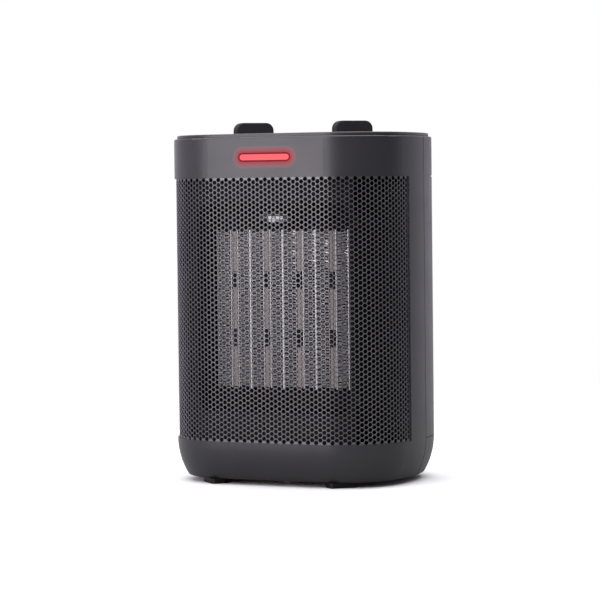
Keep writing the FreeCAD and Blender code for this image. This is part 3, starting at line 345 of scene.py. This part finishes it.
# slot: darkest and lightest colour, least and most roughness, scale and strength of the grain, then
# metallic, the grain's stretch and specular where they differ from a plain plastic's
LOOKS = {
    "dark_plastic": HOUSING_LOOK,
    "base_plastic": (grey(0.018), grey(0.021), 0.45, 0.55, 1400.0, 0.3),
    "knob_plastic": (grey(0.027), grey(0.031), 0.7, 0.8, 1600.0, 0.2, 0.0, (1, 1, 1), 0.1),
    "baffle_plastic": (grey(0.005), grey(0.008), 0.6, 0.7, 900.0, 0.2, 0.0, (1, 1, 1), 0.12),
    "heat_plastic": (grey(0.003), grey(0.005), 0.7, 0.8, 900.0, 0.3, 0.0, (1, 1, 1), 0.06),
    "switch_plastic": (grey(0.04), grey(0.05), 0.4, 0.5, 900.0, 0.3),
    "white_plastic": ((0.66, 0.65, 0.6), (0.74, 0.73, 0.68), 0.35, 0.45, 900.0, 0.15),
    "foot_rubber": (grey(0.003), grey(0.005), 0.4, 0.5, 500.0, 0.15, 0.0, (1, 1, 1), 0.2),
    "gland_rubber": (grey(0.012), grey(0.016), 0.5, 0.6, 700.0, 0.3),
    "grille_steel": (grey(0.046), grey(0.058), 0.26, 0.34, 700.0, 0.1, 0.0, (1, 1, 1), 0.9),
    "lamp_glass": ((0.9, 0.4, 0.35), (1.0, 0.5, 0.42), 0.1, 0.2, 400.0, 0.1),
    "shaft_steel": ((0.5, 0.5, 0.5), (0.62, 0.62, 0.62), 0.25, 0.35, 900.0, 0.2, 1.0),
    "zinc_steel": ((0.55, 0.56, 0.57), (0.72, 0.72, 0.72), 0.3, 0.4, 900.0, 0.2, 1.0),
    "lamination_steel": ((0.2, 0.2, 0.21), (0.3, 0.3, 0.3), 0.4, 0.5, 600.0, 0.8, 1.0, (0.05, 8, 0.05)),
    "aluminium": ((0.31, 0.31, 0.31), (0.41, 0.41, 0.41), 0.34, 0.46, 900.0, 0.3, 0.9),
    "heating_ceramic": ((0.31, 0.265, 0.24), (0.40, 0.345, 0.315), 0.6, 0.7, 700.0, 0.4),
    "brass": ((0.6, 0.43, 0.2), (0.72, 0.53, 0.27), 0.25, 0.35, 900.0, 0.2, 1.0),
    "copper_winding": ((0.45, 0.17, 0.07), (0.6, 0.25, 0.11), 0.25, 0.35, 500.0, 1.0, 0.8, (12, 0.2, 0.2)),
}
MATERIALS = {slot: surface(slot, *look) for slot, look in LOOKS.items()}
MATERIALS["red_lens"] = lens_material()
MATERIALS["tinned_steel"] = can_material()


def dress_nodes():
    """Every CAD node gets the procedural material of its slot."""
    slots = {s["node"]: s["material_slot"] for s in frame["record"]["subparts"]}
    for name, obj in nodes.items():
        obj.data.materials.clear()
        obj.data.materials.append(MATERIALS[slots[name]])
    nodes["front_housing"].data.materials[0] = housing_material()


dress_nodes()


# ---------------------------------------------------------------- pieces
def add_piece(name, verts, faces, body, slot, smooth_angle=30):
    """A smooth-shaded piece that moves with its body."""
    mesh = bpy.data.meshes.new(name)
    mesh.from_pydata([tuple(v) for v in verts], [], faces)
    mesh.validate()
    for polygon in mesh.polygons:
        polygon.use_smooth = True
    mesh.set_sharp_from_angle(angle=radians(smooth_angle))
    obj = bpy.data.objects.new(name, mesh)
    scene.collection.objects.link(obj)
    obj.data.materials.append(MATERIALS[slot])
    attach(obj, body)
    return obj


# the perforated sheet
GRILLE_INSET = 1.05 * MM
GRILLE_SHEET = 0.8 * MM
HOLE_PITCH = 3.2 * MM
HOLE_WIDTH = 2.60 * MM
HOLE_BEVEL = 0.13 * MM
EDGE_MARGIN = 0.3 * MM


def flat_perforated_sheet(half_length, low, high):
    """Hexagonal cells in the (u, z) plane, each with a bevelled hole unless it lies at the sheet's edge."""
    circum = HOLE_PITCH / sqrt(3)
    column = HOLE_PITCH * sqrt(3) / 2
    rim = (HOLE_WIDTH / 2 + HOLE_BEVEL) * 2 / sqrt(3)
    hole = HOLE_WIDTH / sqrt(3)
    corner = [(cos(k * pi / 3), sin(k * pi / 3)) for k in range(6)]
    bm = bmesh.new()
    columns = ceil(half_length / column) + 1
    rows = ceil((high - low) / HOLE_PITCH) + 2
    for c in range(-columns, columns + 1):
        for r in range(-1, rows):
            u = c * column
            z = low + r * HOLE_PITCH + (HOLE_PITCH / 2 if c % 2 else 0)
            outer = [bm.verts.new((u + circum * x, z + circum * y, 0)) for x, y in corner]
            inside = abs(u) + rim < half_length - EDGE_MARGIN
            inside = inside and z - rim > low + EDGE_MARGIN and z + rim < high - EDGE_MARGIN
            if not inside:
                bm.faces.new(outer)
                continue
            edge = [bm.verts.new((u + rim * x, z + rim * y, 0)) for x, y in corner]
            lip = [bm.verts.new((u + hole * x, z + hole * y, HOLE_BEVEL)) for x, y in corner]
            for k in range(6):
                n = (k + 1) % 6
                bm.faces.new((outer[k], outer[n], edge[n], edge[k]))
                bm.faces.new((edge[k], edge[n], lip[n], lip[k]))
    bmesh.ops.remove_doubles(bm, verts=bm.verts, dist=1e-6)
    limits = (((half_length, 0, 0), (1, 0, 0)), ((-half_length, 0, 0), (-1, 0, 0)),
              ((0, high, 0), (0, 1, 0)), ((0, low, 0), (0, -1, 0)))
    for point, normal in limits:
        geometry = bm.verts[:] + bm.edges[:] + bm.faces[:]
        bmesh.ops.bisect_plane(bm, geom=geometry, plane_co=point, plane_no=normal, clear_outer=True)
    return bm


def perforated_grille():
    """The flat sheet's vertices, faces and rim edges, as plain lists."""
    low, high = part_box("front_grille")
    half_length = outline_length(high.y)
    bm = flat_perforated_sheet(half_length, low.z, high.z)
    for index, vert in enumerate(bm.verts):
        vert.index = index
    verts = [(v.co.x, v.co.y, v.co.z) for v in bm.verts]
    faces = [[v.index for v in f.verts] for f in bm.faces]
    rim_edges = []
    for edge in bm.edges:
        if edge.is_boundary:
            loop = edge.link_loops[0]
            rim_edges.append((loop.vert.index, loop.link_loop_next.vert.index))
    bm.free()
    return verts, faces, rim_edges


def bend(verts):
    """Rolls the flat sheet round the outline."""
    placed = []
    for u, z, depth in verts:
        x, y = outline_point(u, GRILLE_INSET + depth)
        placed.append((x, y, z))
    return placed


def nearest_lip(verts, faces):
    """For each vertex on a bevel's outer edge, the vertex of its hole's lip beside it."""
    lip_of = {}
    for face in faces:
        deep = [i for i in face if verts[i][2] > HOLE_BEVEL / 2]
        if len(face) != 4 or not deep:
            continue
        for i in face:
            if i not in deep:
                u, z, _ = verts[i]
                lip_of[i] = min(deep, key=lambda j: (u - verts[j][0]) ** 2 + (z - verts[j][1]) ** 2)
    return lip_of


def build_grille():
    """The sheet with its holes: a bevelled front, a plain back and the walls of the holes."""
    verts, faces, rim_edges = perforated_grille()
    count = len(verts)
    back_verts = [(u, z, GRILLE_SHEET) for u, z, _ in verts]
    lip_of = nearest_lip(verts, faces)
    level = [face for face in faces if not any(verts[i][2] > HOLE_BEVEL / 2 for i in face)]
    back_faces = [[lip_of.get(i, i) + count for i in face][::-1] for face in level]
    side_faces = [[b, a, a + count, b + count] for a, b in rim_edges]
    placed = bend(verts + back_verts)
    all_faces = faces + back_faces + side_faces
    used = sorted({i for face in all_faces for i in face})
    new_index = {old: new for new, old in enumerate(used)}
    placed = [placed[i] for i in used]
    all_faces = [[new_index[i] for i in face] for face in all_faces]
    piece = add_piece("perforated_grille", placed, all_faces, "heater", "grille_steel", 25)
    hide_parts("front_grille")


build_grille()


# the corrugated fins
FOLD_PITCH = 1.86 * MM
FIN_FOIL = 0.16 * MM
STEPS_PER_FOLD = 10
STRIP_SHIFT = 1.3           # each strip's folds start at another point of the wave
FLAT_SWING = 1.25           # the wave's crests are cut flat where they touch the plates


def fin_spans():
    """The x limits of the eight fin strips, read from their CAD blocks."""
    xs = sorted({round(v.co.x, 5) for v in nodes["core_fins"].data.vertices})
    return list(zip(xs[0::2], xs[1::2]))


def fold_path(strip, x0, x1, low_z, high_z):
    """The wave of one strip, from its bottom to its top."""
    middle = (x0 + x1) / 2
    reach = (x1 - x0) / 2 - FIN_FOIL
    steps = int((high_z - low_z) / FOLD_PITCH) * STEPS_PER_FOLD
    path = []
    for step in range(steps + 1):
        phase = 2 * pi * step / STEPS_PER_FOLD + strip * STRIP_SHIFT
        swing = max(-1.0, min(1.0, FLAT_SWING * sin(phase)))
        z = low_z + FIN_FOIL + (high_z - low_z - 2 * FIN_FOIL) * step / steps
        path.append(Vector((middle + reach * swing, 0, z)))
    return path


def build_fins():
    """Foil folded in waves, in place of each solid fin block."""
    low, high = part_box("core_fins")
    verts, faces = [], []
    for strip, (x0, x1) in enumerate(fin_spans()):
        path = fold_path(strip, x0, x1, low.z, high.z)
        first = len(verts)
        for index, point in enumerate(path):
            before, after = path[max(index - 1, 0)], path[min(index + 1, len(path) - 1)]
            along = (after - before).normalized()
            across = Vector((along.z, 0, -along.x)) * (FIN_FOIL / 2)
            for side in (-1, 1):
                for y in (low.y, high.y):
                    spot = point + across * side
                    verts.append((max(x0, min(x1, spot.x)), y, spot.z))
        for step in range(len(path) - 1):
            a = first + 4 * step
            b = a + 4
            faces += [(a, b, b + 1, a + 1), (a + 2, a + 3, b + 3, b + 2)]
            faces += [(a, a + 2, b + 2, b), (a + 1, b + 1, b + 3, a + 3)]
        last = first + 4 * (len(path) - 1)
        faces += [(first, first + 1, first + 3, first + 2), (last, last + 2, last + 3, last + 1)]
    piece = add_piece("corrugated_fins", verts, faces, "heater", "aluminium", 40)
    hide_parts("core_fins")


build_fins()


# raised marks of the two dials
MARK_RISE = 0.15 * MM
MARK_ROOT = 0.10 * MM
MARK_BEVEL = 0.12 * MM
MARK_END_STEPS = 6           # sides of each round end
SCALE_GAP = 2.0 * MM         # from the disc to the scale
SCALE_LENGTH = 2.4 * MM
SCALE_WIDTH = 0.9 * MM
POINTER_INSET = 0.7 * MM
POINTER_LENGTH = 2.0 * MM
POINTER_WIDTH = 1.0 * MM
DISC_RISE = 0.8 * MM         # the knob's disc above the lid
OFF_TURN = 225               # where the scale starts, in degrees from +X
DIAL_SWEEP = 270
# control, marks on its scale, and how much longer the last mark is than the first
DIALS = (("mode", 4, 0.0), ("thermostat", 10, 1.6 * MM))


def raised_mark(verts, faces, centre, turn, near, far, width, base_z):
    """A low bar with round ends along a radius of the dial, its top edge chamfered."""
    out = Vector((cos(turn), sin(turn), 0))
    across = Vector((-sin(turn), cos(turn), 0))
    first = len(verts)
    rings = ((0.0, -MARK_ROOT), (0.0, MARK_RISE - MARK_BEVEL), (MARK_BEVEL, MARK_RISE))
    for inset, rise in rings:
        half = width / 2 - inset
        for end, start in ((far - width / 2, -pi / 2), (near + width / 2, pi / 2)):
            for k in range(MARK_END_STEPS + 1):
                round_turn = start + pi * k / MARK_END_STEPS
                spot = centre + out * (end + half * cos(round_turn)) + across * half * sin(round_turn)
                verts.append((spot.x, spot.y, base_z + rise))
    count = 2 * (MARK_END_STEPS + 1)
    for ring in range(len(rings) - 1):
        low = first + ring * count
        for k in range(count):
            n = (k + 1) % count
            faces.append((low + k, low + n, low + count + n, low + count + k))
    faces.append(tuple(first + k for k in reversed(range(count))))
    faces.append(tuple(first + (len(rings) - 1) * count + k for k in range(count)))


def build_dial_marks():
    """A scale on the lid round each knob, and a pointer on the knob's disc."""
    lid_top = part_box("top_panel")[1].z
    for control, positions, growth in DIALS:
        low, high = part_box(control + "_knob")
        centre = Vector(((low.x + high.x) / 2, (low.y + high.y) / 2, 0))
        dial = (high.x - low.x) / 2
        verts, faces = [], []
        for k in range(positions):
            share = k / (positions - 1)
            turn = radians(OFF_TURN - DIAL_SWEEP * share)
            near = dial + SCALE_GAP
            far = near + SCALE_LENGTH + growth * share
            raised_mark(verts, faces, centre, turn, near, far, SCALE_WIDTH, lid_top)
        add_piece(control + "_scale", verts, faces, "heater", "white_plastic")
        verts, faces = [], []
        far = dial - POINTER_INSET
        near = far - POINTER_LENGTH
        raised_mark(verts, faces, centre, radians(OFF_TURN), near, far, POINTER_WIDTH, lid_top + DISC_RISE)
        add_piece(control + "_pointer", verts, faces, control + "_control", "white_plastic")


build_dial_marks()


# ---------------------------------------------------------------- floor and light
FLOOR_SOLID = 0.30           # the floor is whole out to here
FLOOR_EDGE = 0.85            # and has faded away here
FLOOR_SIDES = 64
SEEN_WHITE = (0.86, 0.86, 0.86, 1)
LIT_FLOOR = (0.40, 0.40, 0.40, 1)
LIT_SKY = (0.98, 0.95, 1.06, 1)
LEFT_GLOW = 0.85             # strength of the surround's light from each direction
RIGHT_GLOW = 0.30
BACK_GLOW = 0.5
LEFT_START, LEFT_END = -0.95, 0.2        # along X, where the left light fades
BACK_START, BACK_END = 0.3, 1.0          # along Y, where the light from behind grows
# name, place, what it faces, width, height, watts, colour
LIGHTS = (
    ("overhead", (0, 0, 2.2), (0, 0, 0), 3.0, 3.0, 92, (1.0, 1.0, 1.0)),
    ("key", (-0.75, -1.85, 0.55), (0, 0, 0.12), 1.15, 1.2, 27, (1.0, 0.93, 1.0)),
)


def seen_or_lit(tree, seen, lit, target):
    """One shader for what the eye sees directly and a dimmer one for the light it gives."""
    path = tree.nodes.new("ShaderNodeLightPath")
    choose = tree.nodes.new("ShaderNodeMixShader")
    tree.links.new(path.outputs["Is Camera Ray"], choose.inputs["Fac"])
    tree.links.new(lit, choose.inputs[1])
    tree.links.new(seen, choose.inputs[2])
    tree.links.new(choose.outputs["Shader"], target)


def make_floor():
    """A pale disc that keeps the contact shadow and fades into the white surround."""
    turns = [2 * pi * k / FLOOR_SIDES for k in range(FLOOR_SIDES)]
    verts = [(FLOOR_EDGE * cos(turn), FLOOR_EDGE * sin(turn), 0) for turn in turns]
    mesh = bpy.data.meshes.new("floor")
    mesh.from_pydata(verts, [], [tuple(range(FLOOR_SIDES))])
    floor = bpy.data.objects.new("floor", mesh)
    scene.collection.objects.link(floor)
    material, tree, shader = new_material("pale_floor")
    shader.inputs["Base Color"].default_value = SEEN_WHITE
    shader.inputs["Roughness"].default_value = 0.9
    shader.inputs["Specular IOR Level"].default_value = 0.0
    dim = add_node(tree, "ShaderNodeBsdfDiffuse", Color=LIT_FLOOR)
    spread = add_node(tree, "ShaderNodeVectorMath", operation="LENGTH")
    tree.links.new(object_coords(tree), spread.inputs[0])
    fade = add_node(tree, "ShaderNodeMapRange", interpolation_type="SMOOTHSTEP")
    fade.inputs["From Min"].default_value = FLOOR_SOLID
    fade.inputs["From Max"].default_value = FLOOR_EDGE
    tree.links.new(spread.outputs["Value"], fade.inputs["Value"])
    clear = tree.nodes.new("ShaderNodeBsdfTransparent")
    edge = tree.nodes.new("ShaderNodeMixShader")
    tree.links.new(fade.outputs["Result"], edge.inputs["Fac"])
    tree.links.new(clear.outputs["BSDF"], edge.inputs[2])
    seen_or_lit(tree, shader.outputs["BSDF"], dim.outputs["BSDF"], edge.inputs[1])
    tree.links.new(edge.outputs["Shader"], tree.nodes["Material Output"].inputs["Surface"])
    floor.data.materials.append(material)


def area_light(name, place, aim, size_x, size_y, power, color):
    data = bpy.data.lights.new(name, "AREA")
    data.shape = "RECTANGLE"
    data.size = size_x
    data.size_y = size_y
    data.energy = power
    data.color = color
    light = bpy.data.objects.new(name, data)
    turn = (Vector(aim) - Vector(place)).to_track_quat("-Z", "Y")
    light.matrix_world = Matrix.Translation(place) @ turn.to_matrix().to_4x4()
    scene.collection.objects.link(light)


def make_world():
    """A white surround for the eye; the light it gives is dim, and brighter from the left."""
    world = bpy.data.worlds.new("studio")
    scene.world = world
    world.use_nodes = True
    tree = world.node_tree
    seen = tree.nodes["Background"]
    seen.inputs["Color"].default_value = (1, 1, 1, 1)
    lit = tree.nodes.new("ShaderNodeBackground")
    lit.inputs["Color"].default_value = LIT_SKY
    direction = tree.nodes.new("ShaderNodeTexCoord")
    split = tree.nodes.new("ShaderNodeSeparateXYZ")
    tree.links.new(direction.outputs["Generated"], split.inputs["Vector"])
    fade = add_node(tree, "ShaderNodeMapRange", interpolation_type="SMOOTHSTEP")
    fade.inputs["From Min"].default_value = LEFT_START
    fade.inputs["From Max"].default_value = LEFT_END
    fade.inputs["To Min"].default_value = LEFT_GLOW
    fade.inputs["To Max"].default_value = RIGHT_GLOW
    tree.links.new(split.outputs["X"], fade.inputs["Value"])
    behind = add_node(tree, "ShaderNodeMapRange", interpolation_type="SMOOTHSTEP")
    behind.inputs["From Min"].default_value = BACK_START
    behind.inputs["From Max"].default_value = BACK_END
    behind.inputs["To Max"].default_value = BACK_GLOW
    tree.links.new(split.outputs["Y"], behind.inputs["Value"])
    total = add_node(tree, "ShaderNodeMath", operation="ADD")
    tree.links.new(fade.outputs["Result"], total.inputs[0])
    tree.links.new(behind.outputs["Result"], total.inputs[1])
    tree.links.new(total.outputs["Value"], lit.inputs["Strength"])
    target = tree.nodes["World Output"].inputs["Surface"]
    seen_or_lit(tree, seen.outputs["Background"], lit.outputs["Background"], target)


scene.view_settings.view_transform = "Standard"
make_floor()
make_world()
for light in LIGHTS:
    area_light(*light)
